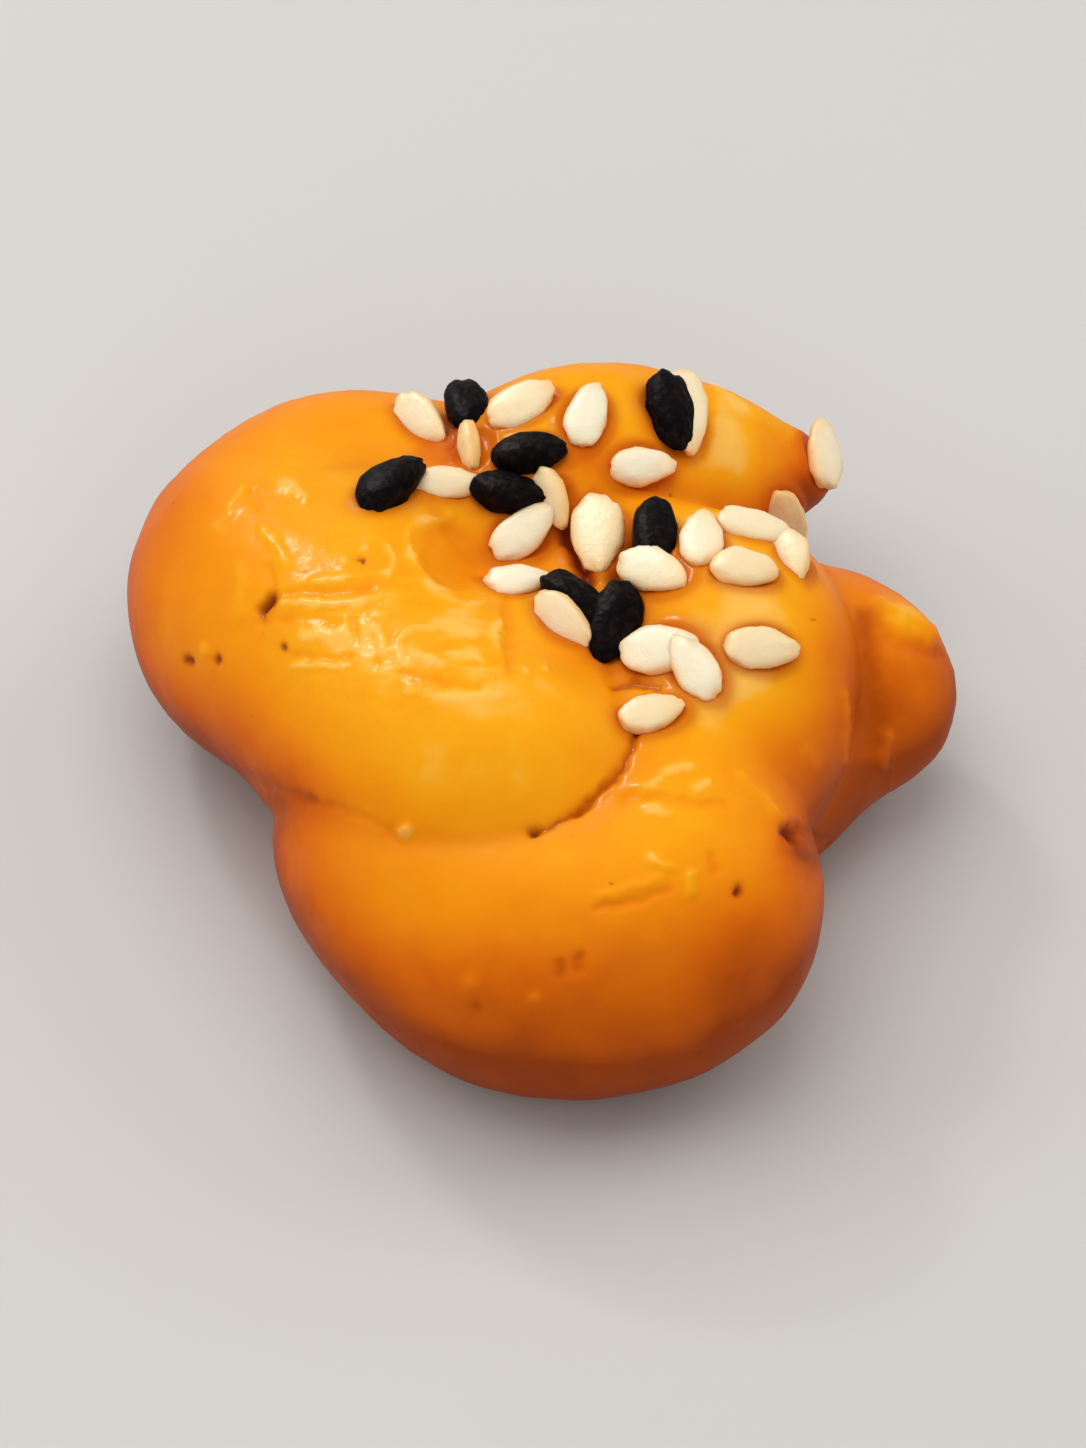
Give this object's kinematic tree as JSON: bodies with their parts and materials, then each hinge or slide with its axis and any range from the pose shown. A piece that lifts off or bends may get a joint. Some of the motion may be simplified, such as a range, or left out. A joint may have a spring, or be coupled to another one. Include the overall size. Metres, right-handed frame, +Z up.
{
  "type": "knotted salt biscuit",
  "caption": "Small baked dough rope tied in a loose overhand knot, egg-glazed golden brown, flat underneath, with sesame and nigella seeds stuck in the folds of its top.",
  "frame": {"origin": "middle of the biscuit's box, on the flat base that it rests on", "axes": "+Z up out of the flat base, -Y towards the front loop, +X towards the right tail"},
  "size_m": [0.0388, 0.0396, 0.0168],
  "materials": {
    "glazed_dough": "egg-glazed baked dough, golden yellow on top and brown on the sides, with a soft gloss",
    "sesame": "hulled sesame seed, cream white with a soft sheen",
    "nigella": "nigella seed, black and finely wrinkled"
  },
  "bodies": {
    "root": {"biscuit": "glazed_dough"}
  },
  "joints": []
}
